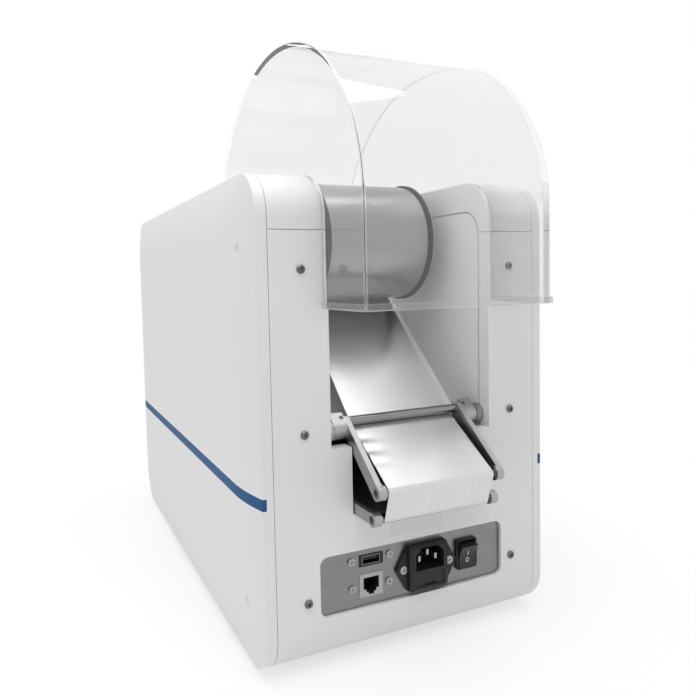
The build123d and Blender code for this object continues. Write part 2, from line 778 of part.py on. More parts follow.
socket_height = inlet_height + 7.2
drawer_height = inlet_height - 8.6
with BuildPart() as power_inlet:
    with BuildSketch(rear_face(inlet_x, inlet_height, sheet)) as ears:
        with BuildLine():
            Polyline((-26, 0), (-16.5, 17), (16.5, 17), (26, 0), (16.5, -17), (-16.5, -17), close=True)
        make_face()
        fillet(ears.vertices(), 2.5)
    extrude(ears.sketch, amount=sheet - flange_front)
    with BuildSketch(rear_face(inlet_x, inlet_height, flange_front)) as body_face:
        RectangleRounded(inlet_size[0], inlet_size[1], 2)
    extrude(body_face.sketch, amount=flange_front - inlet_front)
    chamfer(power_inlet.faces().sort_by(Axis.Y)[-1].edges(), 1.8)
    rear_pocket(inlet_x, inlet_height, (28, 30), sheet, 30)
    with BuildSketch(rear_face(inlet_x, socket_height, 12)) as socket_form:
        with BuildLine():
            Polyline((-12, -8.2), (12, -8.2), (12, 3.4), (7.2, 8.2), (-7.2, 8.2), (-12, 3.4), close=True)
        make_face()
    extrude(socket_form.sketch, amount=20, mode=Mode.SUBTRACT)
    rear_pocket(inlet_x, drawer_height, (24.2, 9.4), inlet_front - 1, 24, mode=Mode.SUBTRACT)
    for x, height in inlet_screw_spots:
        pin(3, x, flange_front - 1, flange_front + 1.2, height, mode=Mode.SUBTRACT)
        pin(1.5, x, flange_front, sheet + 1, height, mode=Mode.SUBTRACT)

with BuildPart() as inlet_pins:
    for x, height in ((-7, -1), (7, -1), (0, 3)):
        rear_pocket(inlet_x + x, socket_height + height, (2, 4), -1, 12)

with BuildPart() as fuse_drawer:
    rear_pocket(inlet_x, drawer_height, (24, 9.2), inlet_front + 0.6, 22)
    rear_pocket(inlet_x, drawer_height - 3.4, (10, 1.4), inlet_front, inlet_front + 1.6, mode=Mode.SUBTRACT)

# The rocker swings on two pins in its housing; its face is a shallow saddle
rocker_depth = sheet + 2.5
rocker_half = rocker_size[0] / 2
rocker_end = rocker_size[1] / 2
rocker_hole = (rocker_size[0] + 2 * rocker_gap[0], rocker_size[1] + 2 * rocker_gap[1])
with BuildPart() as switch_housing:
    rear_pocket(switch_x, switch_height, switch_size, sheet - 2.4, sheet, radius=2)
    rear_pocket(switch_x, switch_height, (17.6, 21.8), sheet, 22)
    rear_pocket(switch_x, switch_height, rocker_hole, -5, 16, mode=Mode.SUBTRACT)
    for side in (-1, 1):
        rod(1.2, switch_x + side * (rocker_half - 1), switch_x + side * 8.4, rocker_depth, switch_height)

with BuildPart() as switch_rocker:
    rocker_plane = Plane(
        origin=(switch_x - rocker_half, y_at(rocker_depth), z_at(switch_height)),
        x_dir=(0, cos(rocker_tilt), sin(rocker_tilt)),
        z_dir=(1, 0, 0),
    )
    with BuildSketch(rocker_plane) as rocker_side:
        with BuildLine():
            ThreePointArc((7.9, -rocker_end), (6, 0), (7.9, rocker_end))
            Polyline((7.9, rocker_end), (0, rocker_end), (-4, 3), (-4, -3), (0, -rocker_end), (7.9, -rocker_end))
        make_face()
    extrude(rocker_side.sketch, amount=rocker_size[0])
    for side in (-1, 1):
        ends = switch_x + side * (rocker_half - 1.1), switch_x + side * (rocker_half + 1)
        rod(1.25, *ends, rocker_depth, switch_height, mode=Mode.SUBTRACT)

with BuildPart() as label_blank:
    rear_pocket(0, 90.8, (44, 12.4), -0.25, 0)

finish(connector_plate.part, "connector_plate", steel)
finish(usb_port.part, "usb_port", dark)
finish(network_port.part, "network_port", steel)
finish(connector_screws.part, "connector_screws", steel)
finish(power_inlet.part, "power_inlet", dark)
finish(inlet_pins.part, "inlet_pins", steel)
finish(fuse_drawer.part, "fuse_drawer", dark)
finish(switch_housing.part, "switch_housing", dark)
finish(switch_rocker.part, "switch_rocker", dark)
finish(label_blank.part, "blank_label", light_grey)


# Film feed behind the slot: guide plate, rubber feed roller and its pinch roller
guide_start = 12
guide_end = 236
guide_half = 52
bracket_inner = 50
bracket_outer = 56
feed_height = film_level - half_film - feed_radius
pinch_height = film_level + half_film + feed_radius
rail_low = 132
rail_high = 140
rail_start = 264
rail_end = 276

with BuildPart() as film_guide_plate:
    block(-guide_half, guide_half, guide_start, guide_end, guide_top - 2.4, guide_top)
    for depth in (40, 200):
        for side in (-1, 1):
            block(side * (guide_half - 8), side * guide_half, depth, depth + 4, sheet, guide_top - 2.4)

with BuildPart() as feed_brackets:
    for side in (-1, 1):
        block(side * bracket_inner, side * bracket_outer, guide_end + 2, 286, sheet, rail_low)
    for height in (feed_height, pinch_height):
        rod(3.05, -bracket_outer, bracket_outer, feed_depth, height, mode=Mode.SUBTRACT)

with BuildPart() as feed_roller:
    rod(feed_radius, -film_half - 2, film_half + 2, feed_depth, feed_height)
    rod(3, -bracket_outer, bracket_outer, feed_depth, feed_height)

with BuildPart() as pinch_roller:
    rod(feed_radius, -film_half - 2, film_half + 2, feed_depth, pinch_height)
    rod(3, -bracket_outer, bracket_outer, feed_depth, pinch_height)

with BuildPart() as feed_motor:
    block(bracket_outer, bracket_outer + 40, feed_depth - 12, feed_depth + 30, feed_height - 30, feed_height + 12)
    rod(3.05, bracket_outer - 1, bracket_outer + 6, feed_depth, feed_height, mode=Mode.SUBTRACT)

with BuildPart() as cutter_rail:
    block(-bracket_outer, bracket_outer, rail_start, rail_end, rail_low, rail_high)

cutter_x = -38
with BuildPart() as cutter_carriage:
    block(cutter_x - 7, cutter_x + 7, rail_start - 3, rail_end + 3, rail_low - 12, rail_high + 3)
    block(
        cutter_x - 8, cutter_x + 8, rail_start - 0.06, rail_end + 0.06, rail_low - 0.06, rail_high + 0.06,
        mode=Mode.SUBTRACT,
    )
    slab([(rail_start + 4, rail_low - 12), (rail_start + 8, rail_low - 12), (rail_start + 6, film_level + 1.5)],
         cutter_x - 5, cutter_x + 5)

finish(film_guide_plate.part, "film_guide_plate", steel)
finish(feed_brackets.part, "feed_brackets", light_grey)
finish(feed_roller.part, "feed_roller", dark)
finish(pinch_roller.part, "pinch_roller", dark)
finish(feed_motor.part, "feed_motor", dark)
finish(cutter_rail.part, "cutter_rail", steel)
finish(cutter_carriage.part, "cutter_carriage", steel)


# Heated press over the plate position
press_start = 296
press_end = 404
press_side = 66
bridge_low = 204
bridge_high = 210
actuator_low = 152
platen_low = 120
platen_high = 134

with BuildPart() as press_frame:
    for side in (-1, 1):
        block(side * press_side, side * (press_side + 4), press_start, press_end, sheet, bridge_low)
    block(-press_side - 4, press_side + 4, press_start, press_end, bridge_low, bridge_high)

with BuildPart() as press_actuator:
    post(20, 0, press_depth, actuator_low, bridge_low)
    post(6.05, 0, press_depth, actuator_low - 1, bridge_low - 4, mode=Mode.SUBTRACT)

with BuildPart() as heater_platen:
    block(-44, 44, 288, 416, platen_low, platen_high)
    post(6, 0, press_depth, platen_high, bridge_low - 8)

finish(press_frame.part, "press_frame", light_grey)
finish(press_actuator.part, "press_actuator", dark)
finish(heater_platen.part, "heater_platen", steel)


# Plate carriage that slides out of the front on two rails
rail_inner = 56
rail_outer = 60
tray_half = rail_inner - 0.06
tray_back = 213
fascia_back = 434

with BuildPart() as carriage_rails:
    for side in (-1, 1):
        block(side * rail_inner, side * rail_outer, 290, 400, sheet, tray_bottom + 10)
        block(side * rail_inner, side * rail_outer, 400, 428, tray_bottom - 16, tray_bottom + 10)
        block(side * (rail_inner - 5), side * rail_inner, 290, 428, tray_bottom - 4, tray_bottom)

with BuildPart() as plate_carriage:
    block(-tray_half, tray_half, 292, fascia_back, tray_bottom + 0.06, tray_bottom + 5)
    block(-40, 40, tray_back, 292, tray_bottom + 0.06, tray_bottom + 5)
    block(-46, 46, 284, 420, tray_bottom + 5, tray_bottom + 11)
    block(-42.9, 42.9, 288, 416, tray_bottom + 5, tray_bottom + 12, mode=Mode.SUBTRACT)

with BuildPart() as carriage_front:
    with BuildSketch(front_face(0, (mouth_low + mouth_high) / 2, fascia_back)):
        RectangleRounded(2 * mouth_half - 1.2, mouth_high - mouth_low - 1.2, 4.4)
    extrude(amount=case_depth - 0.2 - fascia_back)
    with BuildSketch(front_face(0, mouth_high - 10, case_depth - 2.4)):
        SlotOverall(46, 9)
    extrude(amount=3, mode=Mode.SUBTRACT)

finish(carriage_rails.part, "carriage_rails", steel)
finish(plate_carriage.part, "plate_carriage", light_grey)
finish(carriage_front.part, "carriage_front", white)


# Power supply and control board on the base
with BuildPart() as power_supply:
    block(-99, -59, 60, 210, sheet, 52)

board_start, board_end = 60, 220
with BuildPart() as control_board:
    block(60, 102, board_start, board_end, 9, 10.6)
    for x in (64, 98):
        for depth in (board_start + 4, board_end - 4):
            post(2.5, x, depth, sheet, 9)

finish(power_supply.part, "power_supply", light_grey)
finish(control_board.part, "control_board", dark)
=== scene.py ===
import bpy
import bmesh
import math
from mathutils import Matrix, Vector


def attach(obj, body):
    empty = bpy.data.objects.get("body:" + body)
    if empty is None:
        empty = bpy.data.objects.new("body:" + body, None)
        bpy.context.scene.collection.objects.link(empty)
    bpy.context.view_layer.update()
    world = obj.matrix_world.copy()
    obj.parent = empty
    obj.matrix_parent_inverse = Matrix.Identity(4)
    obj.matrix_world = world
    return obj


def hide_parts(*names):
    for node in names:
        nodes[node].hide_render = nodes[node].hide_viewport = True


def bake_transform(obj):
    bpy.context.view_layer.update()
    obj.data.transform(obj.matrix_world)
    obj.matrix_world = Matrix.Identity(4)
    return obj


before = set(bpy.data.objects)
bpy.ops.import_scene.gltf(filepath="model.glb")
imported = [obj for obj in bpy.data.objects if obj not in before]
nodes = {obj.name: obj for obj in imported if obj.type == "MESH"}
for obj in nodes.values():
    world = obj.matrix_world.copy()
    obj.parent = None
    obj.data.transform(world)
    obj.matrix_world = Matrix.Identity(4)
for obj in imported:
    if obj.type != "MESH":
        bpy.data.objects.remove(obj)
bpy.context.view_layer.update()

rearY, footZ = 0.190, 0.004      # rear panel's face and the housing's underside


def place(x, depth, height):     # millimetres across, into the machine and up
    return Vector((x / 1000, rearY - depth / 1000, footZ + height / 1000))


# Camera, solved from the rear panel's corners and screws, its notch and slot and the cover's rim
view = dict(
    spot=(0.25398, 0.58293, 0.27447),
    yaw=0.41688, pitch=-0.05887, roll=-0.02367,
    lens=33.47, sensor=36, shiftX=0.0533, shiftY=-0.0451, near=0.02, far=60,
)


def buildCamera():
    yaw, pitch, roll = view["yaw"], view["pitch"], view["roll"]
    forward = Vector((-math.sin(yaw) * math.cos(pitch), -math.cos(yaw) * math.cos(pitch),
                      math.sin(pitch)))
    level = Vector((-math.cos(yaw), math.sin(yaw), 0))
    up = level.cross(forward)
    right = math.cos(roll) * level + math.sin(roll) * up
    up = math.cos(roll) * up - math.sin(roll) * level
    data = bpy.data.cameras.new("rearCamera")
    data.lens, data.sensor_width = view["lens"], view["sensor"]
    data.shift_x, data.shift_y = view["shiftX"], view["shiftY"]
    data.clip_start, data.clip_end = view["near"], view["far"]
    camera = bpy.data.objects.new("rearCamera", data)
    turn = Matrix((right, up, -forward)).transposed().to_4x4()
    camera.matrix_world = Matrix.Translation(view["spot"]) @ turn
    bpy.context.collection.objects.link(camera)
    bpy.context.scene.camera = camera


buildCamera()
print("camera set")


# Shader groups that several finishes share
texture = dict(
    grainHeight=0.0002, grainDetail=3, driftScale=7, driftDetail=4,
    brushHeight=0.0001, brushDetail=5,
)


def newGroup(name, inputs, outputs):
    tree = bpy.data.node_groups.new(name, "ShaderNodeTree")
    for label, kind, value in inputs:
        socket = tree.interface.new_socket(label, in_out="INPUT", socket_type=kind)
        if value is not None:
            socket.default_value = value
    for label, kind in outputs:
        tree.interface.new_socket(label, in_out="OUTPUT", socket_type=kind)
    return tree, tree.nodes.new("NodeGroupInput"), tree.nodes.new("NodeGroupOutput")


def mathNode(tree, operation, first, second=None):
    node = tree.nodes.new("ShaderNodeMath")
    node.operation = operation
    for slot, value in enumerate((first, second)):
        if value is None:
            continue
        if isinstance(value, (int, float)):
            node.inputs[slot].default_value = value
        else:
            tree.links.new(value, node.inputs[slot])
    return node.outputs[0]


def buildGrain():                 # fine texture of paint or moulding, with a faint drift of tone
    tree, inside, outside = newGroup("surfaceGrain", [
        ("Scale", "NodeSocketFloat", 900), ("Bump", "NodeSocketFloat", 0.1),
        ("Roughness", "NodeSocketFloat", 0.4), ("Spread", "NodeSocketFloat", 0.05),
        ("Tone", "NodeSocketColor", (0.8, 0.8, 0.8, 1)),
        ("Drift", "NodeSocketColor", (0.75, 0.75, 0.75, 1)),
    ], [
        ("Colour", "NodeSocketColor"), ("Roughness", "NodeSocketFloat"),
        ("Normal", "NodeSocketVector"),
    ])
    links = tree.links
    spot = tree.nodes.new("ShaderNodeTexCoord").outputs["Object"]
    fine = tree.nodes.new("ShaderNodeTexNoise")
    fine.inputs["Detail"].default_value = texture["grainDetail"]
    links.new(spot, fine.inputs["Vector"])
    links.new(inside.outputs["Scale"], fine.inputs["Scale"])
    broad = tree.nodes.new("ShaderNodeTexNoise")
    broad.inputs["Scale"].default_value = texture["driftScale"]
    broad.inputs["Detail"].default_value = texture["driftDetail"]
    links.new(spot, broad.inputs["Vector"])
    bump = tree.nodes.new("ShaderNodeBump")
    bump.inputs["Distance"].default_value = texture["grainHeight"]
    links.new(inside.outputs["Bump"], bump.inputs["Strength"])
    links.new(fine.outputs["Fac"], bump.inputs["Height"])
    offset = mathNode(tree, "SUBTRACT", broad.outputs["Fac"], 0.5)
    swing = mathNode(tree, "MULTIPLY", offset, inside.outputs["Spread"])
    rough = mathNode(tree, "ADD", swing, inside.outputs["Roughness"])
    links.new(rough, outside.inputs["Roughness"])
    mix = tree.nodes.new("ShaderNodeMix")
    mix.data_type = "RGBA"
    links.new(broad.outputs["Fac"], mix.inputs["Factor"])
    links.new(inside.outputs["Tone"], mix.inputs["A"])
    links.new(inside.outputs["Drift"], mix.inputs["B"])
    links.new(mix.outputs["Result"], outside.inputs["Colour"])
    links.new(bump.outputs["Normal"], outside.inputs["Normal"])
    return tree


def buildBrush():                 # long parallel scratches of brushed or turned metal
    tree, inside, outside = newGroup("brushedLines", [
        ("Stretch", "NodeSocketVector", (20, 20, 2000)), ("Bump", "NodeSocketFloat", 0.1),
        ("Roughness", "NodeSocketFloat", 0.3), ("Spread", "NodeSocketFloat", 0.1),
    ], [
        ("Lines", "NodeSocketFloat"), ("Roughness", "NodeSocketFloat"),
        ("Normal", "NodeSocketVector"),
    ])
    links = tree.links
    spot = tree.nodes.new("ShaderNodeTexCoord").outputs["Object"]
    scaled = tree.nodes.new("ShaderNodeVectorMath")
    scaled.operation = "MULTIPLY"
    links.new(spot, scaled.inputs[0])
    links.new(inside.outputs["Stretch"], scaled.inputs[1])
    noise = tree.nodes.new("ShaderNodeTexNoise")
    noise.inputs["Scale"].default_value = 1
    noise.inputs["Detail"].default_value = texture["brushDetail"]
    links.new(scaled.outputs[0], noise.inputs["Vector"])
    bump = tree.nodes.new("ShaderNodeBump")
    bump.inputs["Distance"].default_value = texture["brushHeight"]
    links.new(inside.outputs["Bump"], bump.inputs["Strength"])
    links.new(noise.outputs["Fac"], bump.inputs["Height"])
    offset = mathNode(tree, "SUBTRACT", noise.outputs["Fac"], 0.5)
    swing = mathNode(tree, "MULTIPLY", offset, inside.outputs["Spread"])
    rough = mathNode(tree, "ADD", swing, inside.outputs["Roughness"])
    links.new(rough, outside.inputs["Roughness"])
    links.new(noise.outputs["Fac"], outside.inputs["Lines"])
    links.new(bump.outputs["Normal"], outside.inputs["Normal"])
    return tree


grainGroup = buildGrain()
brushGroup = buildBrush()


def newMaterial(name, **fixed):
    material = bpy.data.materials.new(name)
    material.use_nodes = True
    shader = material.node_tree.nodes["Principled BSDF"]
    for label, value in fixed.items():
        shader.inputs[label.replace("_", " ")].default_value = value
    return material, material.node_tree, shader


def paintFinish(name, tone, drift, roughness, scale=900, bump=0.1, spread=0.06, **fixed):
    material, tree, shader = newMaterial(name, **fixed)
    grain = tree.nodes.new("ShaderNodeGroup")
    grain.node_tree = grainGroup
    for label, value in (("Scale", scale), ("Bump", bump), ("Roughness", roughness),
                         ("Spread", spread), ("Tone", (*tone, 1)), ("Drift", (*drift, 1))):
        grain.inputs[label].default_value = value
    tree.links.new(grain.outputs["Colour"], shader.inputs["Base Color"])
    tree.links.new(grain.outputs["Roughness"], shader.inputs["Roughness"])
    tree.links.new(grain.outputs["Normal"], shader.inputs["Normal"])
    return material


def metalFinish(name, tone, dark, roughness, stretch, bump=0.1, spread=0.1, **fixed):
    material, tree, shader = newMaterial(name, Metallic=1.0, **fixed)
    brush = tree.nodes.new("ShaderNodeGroup")
    brush.node_tree = brushGroup
    for label, value in (("Stretch", stretch), ("Bump", bump), ("Roughness", roughness),
                         ("Spread", spread)):
        brush.inputs[label].default_value = value
    mix = tree.nodes.new("ShaderNodeMix")
    mix.data_type = "RGBA"
    mix.inputs["A"].default_value = (*dark, 1)
    mix.inputs["B"].default_value = (*tone, 1)
    tree.links.new(brush.outputs["Lines"], mix.inputs["Factor"])
    tree.links.new(mix.outputs["Result"], shader.inputs["Base Color"])
    tree.links.new(brush.outputs["Roughness"], shader.inputs["Roughness"])
    tree.links.new(brush.outputs["Normal"], shader.inputs["Normal"])
    return material


whitePaint = paintFinish("whitePaint", (0.80, 0.80, 0.80), (0.77, 0.77, 0.77),
                         roughness=0.42, scale=1400, bump=0.06)
whiteMoulding = paintFinish("whiteMoulding", (0.80, 0.80, 0.80), (0.775, 0.775, 0.775),
                            roughness=0.38, scale=500, bump=0.03)
plugPlastic = paintFinish("plugPlastic", (0.76, 0.76, 0.76), (0.73, 0.73, 0.73),
                          roughness=0.35, scale=700, bump=0.04)
stripeBlue = paintFinish("stripeBlue", (0.010, 0.085, 0.23), (0.012, 0.095, 0.25),
                         roughness=0.55, scale=800, bump=0.04, Specular_IOR_Level=0.2)
blackPlastic = paintFinish("blackPlastic", (0.010, 0.010, 0.010), (0.016, 0.016, 0.016),
                           roughness=0.5, scale=1600, bump=0.25, Specular_IOR_Level=0.35)
rockerPlastic = paintFinish("rockerPlastic", (0.012, 0.012, 0.012), (0.018, 0.018, 0.018),
                            roughness=0.35, scale=2200, bump=0.1, Specular_IOR_Level=0.4)
rubberBlack = paintFinish("rubberBlack", (0.03, 0.03, 0.03), (0.045, 0.045, 0.045),
                          roughness=0.75, scale=1200, bump=0.5)
discPlastic = paintFinish("discPlastic", (0.010, 0.011, 0.011), (0.015, 0.016, 0.016),
                          roughness=0.5, scale=900, bump=0.2, Specular_IOR_Level=0.3)
labelStock = paintFinish("labelStock", (0.74, 0.74, 0.74), (0.72, 0.72, 0.72),
                         roughness=0.5, scale=2500, bump=0.08)
boardGreen = paintFinish("boardGreen", (0.01, 0.09, 0.04), (0.02, 0.13, 0.06),
                         roughness=0.35, scale=300, bump=0.1)
cardCore = paintFinish("cardCore", (0.36, 0.30, 0.22), (0.42, 0.35, 0.26),
                       roughness=0.8, scale=600, bump=0.6)
signWhite = paintFinish("signWhite", (0.8, 0.8, 0.8), (0.75, 0.75, 0.75),
                        roughness=0.4, scale=2000, bump=0.05)
zincSteel = paintFinish("zincSteel", (0.42, 0.43, 0.44), (0.50, 0.51, 0.52),
                        roughness=0.38, scale=60, bump=0.05, Metallic=0.85)
polishedSteel = metalFinish("polishedSteel", (0.30, 0.305, 0.31), (0.20, 0.205, 0.21),
                            roughness=0.14, stretch=(40, 3000, 3000), bump=0.05)
satinAluminium = metalFinish("satinAluminium", (0.46, 0.465, 0.47), (0.34, 0.345, 0.35),
                             roughness=0.38, stretch=(1800, 60, 1800), bump=0.15)
brushedStainless = metalFinish("brushedStainless", (0.32, 0.32, 0.315), (0.16, 0.16, 0.155),
                               roughness=0.36, stretch=(40, 40, 4000), bump=0.25, spread=0.25)
portMetal = metalFinish("portMetal", (0.45, 0.45, 0.455), (0.30, 0.30, 0.305),
                        roughness=0.28, stretch=(900, 900, 900), bump=0.1)
screwSteel = metalFinish("screwSteel", (0.20, 0.20, 0.205), (0.10, 0.10, 0.105),
                         roughness=0.35, stretch=(1500, 1500, 1500), bump=0.2)
goldContact = metalFinish("goldContact", (0.83, 0.60, 0.24), (0.70, 0.48, 0.17),
                          roughness=0.22, stretch=(900, 3000, 900), bump=0.1)


# The index is lower than acrylic's own, which would draw the edges as black lines
acrylic = dict(
    tone=(0.92, 0.925, 0.925, 1), index=1.12, coatIndex=1.5, coatRoughness=0.02,
    edgeTone=(0.86, 0.87, 0.87), edgeDrift=(0.82, 0.83, 0.83), edgeRoughness=0.12, edgeClear=0.75,
    handlingScale=25, handlingRoughness=0.035,
)


def buildAcrylic():
    material, tree, shader = newMaterial(
        "clearAcrylic", Base_Color=acrylic["tone"], IOR=acrylic["index"], Transmission_Weight=1.0,
        Metallic=0.0, Coat_Weight=1.0, Coat_Roughness=acrylic["coatRoughness"],
        Coat_IOR=acrylic["coatIndex"])
    noise = tree.nodes.new("ShaderNodeTexNoise")
    noise.inputs["Scale"].default_value = acrylic["handlingScale"]
    coordinates = tree.nodes.new("ShaderNodeTexCoord")
    tree.links.new(coordinates.outputs["Object"], noise.inputs["Vector"])
    handling = tree.nodes.new("ShaderNodeMapRange")
    handling.inputs["To Min"].default_value = 0.0
    handling.inputs["To Max"].default_value = acrylic["handlingRoughness"]
    tree.links.new(noise.outputs["Fac"], handling.inputs["Value"])
    tree.links.new(handling.outputs["Result"], shader.inputs["Roughness"])
    return material


screen = dict(
    dark=(0.008, 0.010, 0.014, 1), light=(0.014, 0.018, 0.024, 1), driftScale=18, roughness=0.12,
    coat=0.6, coatRoughness=0.05,
)


def buildScreen():
    material, tree, shader = newMaterial("screenGlass", Coat_Weight=screen["coat"],
                                         Coat_Roughness=screen["coatRoughness"])
    coordinates = tree.nodes.new("ShaderNodeTexCoord")
    noise = tree.nodes.new("ShaderNodeTexNoise")
    noise.inputs["Scale"].default_value = screen["driftScale"]
    tree.links.new(coordinates.outputs["Object"], noise.inputs["Vector"])
    ramp = tree.nodes.new("ShaderNodeValToRGB")
    ramp.color_ramp.elements[0].color = screen["dark"]
    ramp.color_ramp.elements[1].color = screen["light"]
    tree.links.new(noise.outputs["Fac"], ramp.inputs["Fac"])
    tree.links.new(ramp.outputs["Color"], shader.inputs["Base Color"])
    shader.inputs["Roughness"].default_value = screen["roughness"]
    return material


film = dict(
    tone=(0.71, 0.71, 0.71), shade=(0.63, 0.63, 0.63),
    # the roll's two colours are a darker copy of tone and shade: painted shade of the wound roll
    # inside its cover
    shadedRollTone=(0.34, 0.345, 0.34), shadedRollLines=(0.29, 0.295, 0.29),
    metallic=0.9, roughness=0.26, smoother=0.015, rougher=0.02, lines=(420, 4, 4), lineDetail=4,
    ripples=45, rippleDetail=3, bump=0.006, bumpHeight=0.0006,
    rollBump=0.002, rollBumpHeight=0.0003,
)


def buildFilm(name, onRoll=False):
    material, tree, shader = newMaterial(name, Metallic=film["metallic"])
    links = tree.links
    coordinates = tree.nodes.new("ShaderNodeTexCoord")
    stretch = tree.nodes.new("ShaderNodeVectorMath")
    stretch.operation = "MULTIPLY"
    stretch.inputs[1].default_value = film["lines"]
    links.new(coordinates.outputs["Object"], stretch.inputs[0])
    lines = tree.nodes.new("ShaderNodeTexNoise")
    lines.inputs["Scale"].default_value = 1
    lines.inputs["Detail"].default_value = film["lineDetail"]
    links.new(stretch.outputs[0], lines.inputs["Vector"])
    mix = tree.nodes.new("ShaderNodeMix")
    mix.data_type = "RGBA"
    # on the roll the darker copy of the film's colours is used: painted shade
    mix.inputs["A"].default_value = (*film["shadedRollTone" if onRoll else "tone"], 1)
    mix.inputs["B"].default_value = (*film["shadedRollLines" if onRoll else "shade"], 1)
    links.new(lines.outputs["Fac"], mix.inputs["Factor"])
    links.new(mix.outputs["Result"], shader.inputs["Base Color"])
    broad = tree.nodes.new("ShaderNodeTexNoise")
    broad.inputs["Scale"].default_value = film["ripples"]
    broad.inputs["Detail"].default_value = film["rippleDetail"]
    links.new(coordinates.outputs["Object"], broad.inputs["Vector"])
    rough = tree.nodes.new("ShaderNodeMapRange")
    rough.inputs["To Min"].default_value = film["roughness"] - film["smoother"]
    rough.inputs["To Max"].default_value = film["roughness"] + film["rougher"]
    links.new(broad.outputs["Fac"], rough.inputs["Value"])
    links.new(rough.outputs["Result"], shader.inputs["Roughness"])
    bump = tree.nodes.new("ShaderNodeBump")
    bump.inputs["Strength"].default_value = film["rollBump" if onRoll else "bump"]
    bump.inputs["Distance"].default_value = film["rollBumpHeight" if onRoll else "bumpHeight"]
    links.new(broad.outputs["Fac"], bump.inputs["Height"])
    links.new(bump.outputs["Normal"], shader.inputs["Normal"])
    return material


clearAcrylic = buildAcrylic()
acrylicEdge = paintFinish("acrylicEdge", acrylic["edgeTone"], acrylic["edgeDrift"],
                          roughness=acrylic["edgeRoughness"], scale=600, bump=0.02,
                          Transmission_Weight=acrylic["edgeClear"], IOR=acrylic["index"],
                          Coat_Weight=1.0)
screenGlass = buildScreen()
silverFilm = buildFilm("silverFilm")
# the wound roll gets the same foil with painted shade, darker than the spans
shadedRollFilm = buildFilm("shadedRollFilm", onRoll=True)

finishes = {
    whitePaint: ["base_plate", "rear_panel", "top_cover", "front_panel", "roll_bay_liner",
                 "carriage_front"],
    whiteMoulding: ["side_cover_left", "side_cover_right"],
    stripeBlue: ["accent_stripes"],
    plugPlastic: ["side_cover_plugs"],
    clearAcrylic: ["roll_cover"],
    silverFilm: ["film_upper_span", "film_arm_span", "film_lower_span", "film_feed_span"],
    shadedRollFilm: ["film_roll"],
    discPlastic: ["roll_flanges"],
    cardCore: ["roll_core"],
    polishedSteel: ["spindle", "guide_rod", "pivot_pins", "dancer_axle", "dancer_roller",
                    "lower_axle", "lower_roller", "cutter_rail", "cutter_carriage"],
    screwSteel: ["rear_panel_screws", "dancer_screws", "lower_screws"],
    satinAluminium: ["spindle_cradles", "pivot_bushes", "lower_brackets", "dancer_arms",
                     "heater_platen", "plate_carriage", "carriage_rails"],
    brushedStainless: ["connector_plate", "film_guide_plate"],
    zincSteel: ["chassis_sides", "feed_brackets", "press_frame", "power_supply"],
    blackPlastic: ["display_bezel", "usb_port", "power_inlet", "fuse_drawer", "switch_housing",
                   "feed_motor", "press_actuator"],
    rockerPlastic: ["switch_rocker"],
    portMetal: ["connector_screws", "network_port", "inlet_pins"],
    rubberBlack: ["rubber_feet", "feed_roller", "pinch_roller"],
    screenGlass: ["touch_screen"],
    labelStock: ["blank_label"],
    boardGreen: ["control_board"],
}
for material, names in finishes.items():
    for name in names:
        for slot in nodes[name].material_slots:
            slot.material = material
print("finishes set on", sum(len(names) for names in finishes.values()), "nodes")


def meshPiece(name, points, faces, material):
    mesh = bpy.data.meshes.new(name)
    mesh.from_pydata([tuple(point) for point in points], [], faces)
    mesh.update()
    work = bmesh.new()
    work.from_mesh(mesh)
    bmesh.ops.remove_doubles(work, verts=work.verts, dist=1e-6)
    bmesh.ops.recalc_face_normals(work, faces=work.faces)
    work.to_mesh(mesh)
    work.free()
    piece = bpy.data.objects.new(name, mesh)
    bpy.context.collection.objects.link(piece)
    mesh.materials.append(material)
    return piece


def applyModifiers(piece, smoothAngle=None):
    graph = bpy.context.evaluated_depsgraph_get()
    mesh = bpy.data.meshes.new_from_object(
        piece.evaluated_get(graph), preserve_all_data_layers=True, depsgraph=graph)
    piece.modifiers.clear()
    piece.data = mesh
    if smoothAngle is not None:
        mesh.shade_smooth()
        mesh.set_sharp_from_angle(angle=math.radians(smoothAngle))


rounding = dict(segments=2, angle=math.radians(35), faceWeight=100)


def softenEdges(piece, width):    # small rounded edges; flat faces stay flat in their shading
    piece.data.shade_smooth()
    soften = piece.modifiers.new("edges", "BEVEL")
    soften.width = width / 1000
    soften.segments = rounding["segments"]
    soften.limit_method = "ANGLE"
    soften.angle_limit = rounding["angle"]
    flatten = piece.modifiers.new("flatFaces", "WEIGHTED_NORMAL")
    flatten.weight = rounding["faceWeight"]
    flatten.keep_sharp = True
    applyModifiers(piece)


# Clear cover, in millimetres: one bent arch with two cheeks, and a thicker rim band
cover = dict(
    half=71.35, rear=-58.6, front=232, rim=250, spring=316.4, crest=445.2, wall=3.0,
    caseTop=342, caseRadius=31, caseGap=0.5, band=4.5, lip=1.35, segments=56, cornerSteps=12,
    edge=0.8, edgeArea=200, narrow=0.9, bandGap=0.05, bandEdge=0.4,
)


def coverProfile():               # side outline from the rear foot over the crest to the front foot
    middle, half = (cover["front"] + cover["rear"]) / 2, (cover["front"] - cover["rear"]) / 2
    rise = cover["crest"] - cover["spring"]
    footAngle = math.asin((cover["caseTop"] - cover["spring"]) / rise)
    points = [(cover["rear"], cover["rim"])]
    for step in range(cover["segments"] + 1):
        angle = math.pi - (math.pi - footAngle) * step / cover["segments"]
        points.append((middle + half * math.cos(angle), cover["spring"] + rise * math.sin(angle)))
    return points


def isNarrow(mesh, face):         # a strip left by rounding, under a millimetre across
    lengths = [(mesh.vertices[a].co - mesh.vertices[b].co).length for a, b in face.edge_keys]
    return min(lengths) < cover["edge"] * cover["narrow"] / 1000


